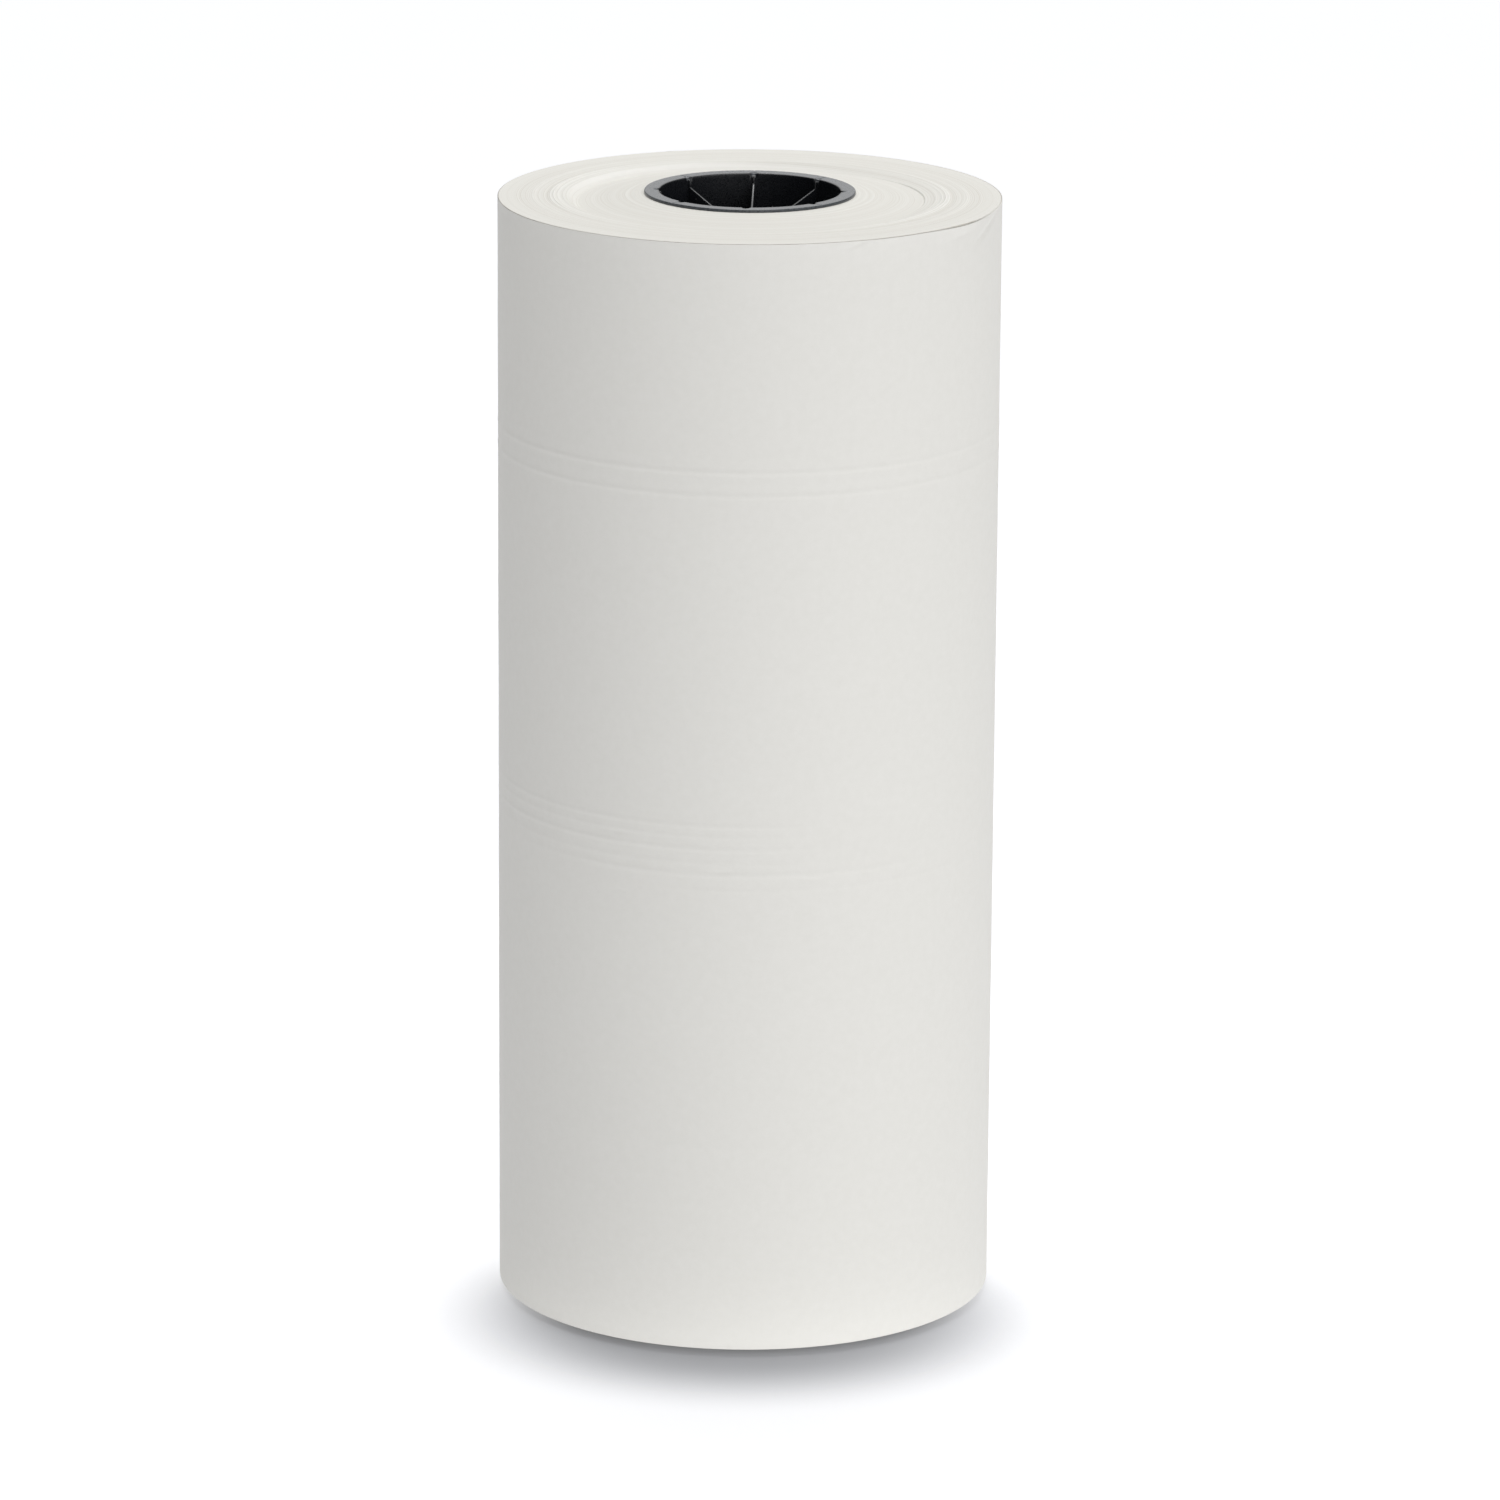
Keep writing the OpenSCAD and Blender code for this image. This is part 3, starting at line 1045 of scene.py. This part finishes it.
def plug_shell(name):
    """Flange and barrel in one, with a scallop and a parting groove at each rib and grips outside."""
    section = shell_section()
    azimuth = plug_azimuths()[:, None]
    radius = section[None, :, 0] + 0 * azimuth
    z = section[None, :, 1] + 0 * azimuth
    from_rib = np.abs(turn_from(azimuth * RIB_COUNT, 0)) / RIB_COUNT
    from_grip = np.abs(turn_from(azimuth * GRIP_COUNT - 180, 0)) / GRIP_COUNT
    notch = smooth(1.25 * (1 - from_rib / NOTCH_HALF_ANGLE))
    near_mouth = smooth(1 - (radius - MOUTH_R) / (2.6 * MM)) * smooth((z + 0.6 * MM) / (1.2 * MM))
    radius = radius + NOTCH_BACK * notch * near_mouth * (radius < FLANGE_R - 2 * MM)
    z = z - NOTCH_DOWN * notch * near_mouth
    on_top = (section[None, :, 1] > FLANGE_T - DISH - 0.1 * MM) & (section[None, :, 0] > MOUTH_R)
    z = z - GROOVE_DEPTH * smooth(1.5 * (1 - from_rib / GROOVE_HALF_ANGLE)) * on_top
    grip = smooth(2 * (1 - from_grip / GRIP_HALF_ANGLE))
    depth = -section[None, :, 1] / BARREL_DEPTH
    on_barrel = (np.abs(section[None, :, 0] - BARREL_R) < 0.01 * MM) & (depth > 0.11) & (depth < 0.93)
    radius = radius + GRIP_PROUD * grip * on_barrel
    return sweep(name, polar(radius, azimuth, z), True, PLUG_PLASTIC)


def plug_hub(name):
    """The tube in the plug's middle that runs on a bar."""
    out_edge = arc(HUB_OUT_R - HUB_ROUND, HUB_TOP - HUB_ROUND, HUB_ROUND, 0, 90, 5)
    in_edge = arc(HUB_IN_R + SMALL_ROUND, HUB_TOP - SMALL_ROUND, SMALL_ROUND, 90, 180, 4)
    low_in = arc(HUB_IN_R + SMALL_ROUND, -BARREL_DEPTH + SMALL_ROUND, SMALL_ROUND, 180, 270, 4)
    low_out = arc(HUB_OUT_R - SMALL_ROUND, -BARREL_DEPTH + SMALL_ROUND, SMALL_ROUND, 270, 360, 4)
    section = np.array(out_edge + in_edge + low_in + low_out)
    azimuth = np.linspace(0, 360, HUB_COLUMNS, endpoint=False)[:, None]
    grid = polar(section[None, :, 0] + 0 * azimuth, azimuth, section[None, :, 1] + 0 * azimuth)
    return sweep(name, grid, True, PLUG_PLASTIC)


def rib_outline():
    """A rib's side view: its upper edge falls from the mouth to the hub, and a bead runs on up the wall."""
    root = (HUB_IN_R + HUB_OUT_R) / 2
    wall = MOUTH_R + 0.5 * MM
    return [
        (root, RIB_FOOT),
        (FOOT_R + 0.5 * MM, RIB_FOOT),
        (wall, FLANGE_T - 1.1 * MM),
        (MOUTH_R - 0.7 * RIB_BEAD, FLANGE_T - 1.3 * MM),
        (MOUTH_R - RIB_BEAD, FLANGE_T - 2.0 * MM),
        (MOUTH_R - RIB_BEAD, RIB_MOUTH + 0.4 * MM),
        (MOUTH_R - RIB_BEAD - 0.5 * MM, RIB_MOUTH),
        (HUB_OUT_R + 0.6 * MM, HUB_TOP + 0.1 * MM),
        (HUB_OUT_R - 0.2 * MM, HUB_TOP - 0.15 * MM),
        (root, HUB_TOP - 0.25 * MM),
    ]


def plug_rib(name, azimuth):
    """An upright rib, a little thicker towards its foot, with its long edges rounded."""
    outline = rib_outline()
    work = bmesh.new()
    sides = []
    for side in (-1, 1):
        sides.append([work.verts.new((x, side * RIB_T / 2 * (1 + RIB_DRAFT * -z), z)) for x, z in outline])
    left, right = sides
    work.faces.new(left)
    work.faces.new(right[::-1])
    count = len(outline)
    for i in range(count):
        j = (i + 1) % count
        work.faces.new((left[j], left[i], right[i], right[j]))
    bmesh.ops.recalc_face_normals(work, faces=work.faces)
    along = [e for e in work.edges if abs(e.verts[0].co.y - e.verts[1].co.y) < 0.3 * MM]
    bmesh.ops.bevel(work, geom=along, offset=RIB_ROUND, segments=3, profile=0.5, affect="EDGES")
    turn = Matrix.Rotation(math.radians(azimuth), 3, "Z")
    bmesh.ops.rotate(work, verts=work.verts, cent=(0, 0, 0), matrix=turn)
    mesh = bpy.data.meshes.new(name)
    work.to_mesh(mesh)
    work.free()
    mesh.materials.append(PLUG_PLASTIC)
    rib = bpy.data.objects.new(name, mesh)
    scene.collection.objects.link(rib)
    tidy_mesh(rib)
    return rib


def core_plug(name):
    """One moulding: shell, hub and ribs, drawn upright with the flange's underside at height 0."""
    parts = [plug_shell("shell"), plug_hub("hub")]
    for i in range(RIB_COUNT):
        parts.append(plug_rib(f"rib_{i}", i * 360 / RIB_COUNT))
    return join(name, parts)


def place_plug(name, node, body, z, flip):
    """Builds a plug with its flange's underside at height z; flip turns it over for the lower end."""
    plug = core_plug(name)
    place = Matrix.Translation((0, 0, z))
    if flip:
        place = place @ Matrix.Scale(-1, 4, (0, 0, 1))
    plug.data.transform(place @ Matrix.Rotation(math.radians(PLUG_TURN), 4, "Z"))
    if flip:
        plug.data.flip_normals()
    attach(plug, body)
    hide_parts(node)


place_plug("plug_top", "core_plug_top", "top_plug", CORE_Z[1], False)
place_plug("plug_bottom", "core_plug_bottom", "bottom_plug", CORE_Z[0], True)


# ---------------------------------------------------------------- floor, light and camera

# The floor glows white but for a soft patch round the roll's foot that glows less: a painted shadow there
FLOOR_REACH = 14.0
FLOOR_GLOW = 0.71
SHADOW_PATCH_GLOW = 0.10
PATCH_CENTRE = (-0.0004, -0.0468, 0.0)
PATCH_STRETCH = (1 / 1.085, 1.0, 1.0)
PATCH_INNER_R = 0.058
PATCH_OUTER_R = 0.1275
VECTOR_MATH = "ShaderNodeVectorMath"


def calculate(tree, operation, *values, kind="ShaderNodeMath"):
    """The result of a node that does an operation on values, each of them a socket, a number or a vector."""
    node = tree.nodes.new(kind)
    node.operation = operation
    for socket, value in zip(node.inputs, values):
        if isinstance(value, bpy.types.NodeSocket):
            tree.links.new(value, socket)
        else:
            socket.default_value = value
    return node.outputs["Value" if operation in ("DOT_PRODUCT", "LENGTH") else 0]


def shadow_patch_share(tree, place, inside, outside):
    """A value that runs smoothly from inside, within the painted shadow's patch round the foot, to outside,
    beyond it.
    """
    shifted = calculate(tree, "SUBTRACT", place, PATCH_CENTRE, kind=VECTOR_MATH)
    stretched = calculate(tree, "MULTIPLY", shifted, PATCH_STRETCH, kind=VECTOR_MATH)
    reach = calculate(tree, "LENGTH", stretched, kind=VECTOR_MATH)
    fade = tree.nodes.new("ShaderNodeMapRange")
    fade.interpolation_type = "SMOOTHSTEP"
    tree.links.new(reach, fade.inputs["Value"])
    ends = {"From Min": PATCH_INNER_R, "From Max": PATCH_OUTER_R, "To Min": inside, "To Max": outside}
    for name, number in ends.items():
        fade.inputs[name].default_value = number
    return fade.outputs["Result"]


def studio_floor():
    """A level white floor at height 0, with a painted shadow round the roll's foot."""
    corners = [(x * FLOOR_REACH, y * FLOOR_REACH, 0) for x, y in ((-1, -1), (1, -1), (1, 1), (-1, 1))]
    mesh = bpy.data.meshes.new("studio_floor")
    mesh.from_pydata(corners, [], [(0, 1, 2, 3)])
    s = Shader("floor_white", roughness=0.95, specular=0.0)
    s.colour(s.mix(s.noise(0.4, detail=2), rgb(0.478, 0.488, 0.522), rgb(0.488, 0.498, 0.532)))
    s.put(s.surface, "Emission Color", rgb(1.0, 1.0, 1.0))
    # The glow drops in the patch round the foot: a painted shadow
    s.put(s.surface, "Emission Strength", shadow_patch_share(s.tree, s.place, SHADOW_PATCH_GLOW, FLOOR_GLOW))
    mesh.materials.append(s.material)
    floor = bpy.data.objects.new("studio_floor", mesh)
    scene.collection.objects.link(floor)


# Broad lights of the studio: the way to each, how tight it is and how bright
DOME_LIGHTS = [
    ((0.0, 0.7, 1.0), 6, 2.02),
    ((1.0, -1.0, 0.35), 3, 1.508),
    ((0.3, -1.0, 0.0), 12, 0.570),
    ((0.0, -1.0, 0.2), 3, 0.440),
    ((0.0, 1.0, 0.22), 14, 0.95),
]


def dome_light():
    """A dome of the broad, soft lights: high behind the roll, front right, low in front and low behind."""
    world = bpy.data.worlds.new("studio")
    scene.world = world
    world.use_nodes = True
    tree = world.node_tree
    tree.nodes.clear()
    output = tree.nodes.new("ShaderNodeOutputWorld")
    background = tree.nodes.new("ShaderNodeBackground")
    tree.links.new(background.outputs[0], output.inputs[0])
    direction = tree.nodes.new("ShaderNodeTexCoord").outputs["Generated"]
    level = 0.0
    for toward, tight, bright in DOME_LIGHTS:
        facing = calculate(tree, "DOT_PRODUCT", direction, Vector(toward).normalized(), kind=VECTOR_MATH)
        lobe = calculate(tree, "POWER", calculate(tree, "MAXIMUM", facing, 0.0), tight)
        level = calculate(tree, "MULTIPLY_ADD", lobe, bright, level)
    tree.links.new(level, background.inputs["Strength"])


def softbox(name, place, target, size, watts):
    """A square light at place that shines towards target."""
    data = bpy.data.lights.new(name, "AREA")
    data.shape = "RECTANGLE"
    data.size, data.size_y = size, size
    data.energy = watts
    lamp = bpy.data.objects.new(name, data)
    scene.collection.objects.link(lamp)
    lamp.location = place
    lamp.rotation_euler = (Vector(target) - Vector(place)).to_track_quat("-Z", "Y").to_euler()
    return lamp


OVERHEAD_PLACE = (0, 0.25, 1.7)
OVERHEAD_SIZE = 0.6
OVERHEAD_WATTS = 7.1
FOOT_LIGHT_PLACE = (0, -0.045, 0.0006)
FOOT_LIGHT_R = 0.21
FOOT_LIGHT_LEVEL = 0.98


def foot_light():
    """A light flat on the floor round the roll: what the patch of shadow takes from the roll's lower end."""
    area = math.pi * FOOT_LIGHT_R**2
    watts = FOOT_LIGHT_LEVEL * math.pi * area
    straight_up = (*FOOT_LIGHT_PLACE[:2], 1.0)
    lamp = softbox("foot", FOOT_LIGHT_PLACE, straight_up, 2 * FOOT_LIGHT_R, watts)
    lamp.data.shape = "ELLIPSE"
    lamp.visible_camera = False
    lamp.data.use_nodes = True
    tree = lamp.data.node_tree
    tree.nodes.clear()
    position = tree.nodes.new("ShaderNodeNewGeometry").outputs["Position"]
    reach = calculate(tree, "LENGTH", position, kind=VECTOR_MATH)
    clear = calculate(tree, "GREATER_THAN", reach, ROLL_R + 1 * MM)
    level = calculate(tree, "MULTIPLY", clear, shadow_patch_share(tree, position, 1.0, 0.0))
    glow = tree.nodes.new("ShaderNodeEmission")
    tree.links.new(level, glow.inputs["Strength"])
    output = tree.nodes.new("ShaderNodeOutputLight")
    tree.links.new(glow.outputs[0], output.inputs[0])


# The photograph's camera: its lens in mm, its distance from the axis and its height above the roll's
# lower edge, both over the roll's radius, and the angles it looks down by, is rolled by and is turned by
CAMERA_LENS_MM = 186.73
CAMERA_DISTANCE = 30.31
CAMERA_HEIGHT = 10.296
CAMERA_DIP = 14.947
CAMERA_ROLL = 0.378
CAMERA_TURN = -0.028


def photo_camera():
    """The camera of the photograph: level with the roll's front, looking a little down on its end."""
    data = bpy.data.cameras.new("camera")
    data.sensor_width = 36
    data.lens = CAMERA_LENS_MM
    data.clip_end = 100
    camera = bpy.data.objects.new("camera", data)
    scene.collection.objects.link(camera)
    distance = CAMERA_DISTANCE * ROLL_R
    height = OUTER_Z[0] + CAMERA_HEIGHT * ROLL_R
    pitch = Matrix.Rotation(math.radians(90 - CAMERA_DIP), 4, "X")
    roll = Matrix.Rotation(math.radians(CAMERA_ROLL), 4, "Z")
    yaw = Matrix.Rotation(math.radians(CAMERA_TURN), 4, "Z")
    camera.matrix_world = Matrix.Translation((0, -distance, height)) @ yaw @ pitch @ roll
    scene.camera = camera


studio_floor()
dome_light()
softbox("overhead", OVERHEAD_PLACE, (0, 0, 0), OVERHEAD_SIZE, OVERHEAD_WATTS)
foot_light()
photo_camera()
scene.view_settings.view_transform = "Standard"
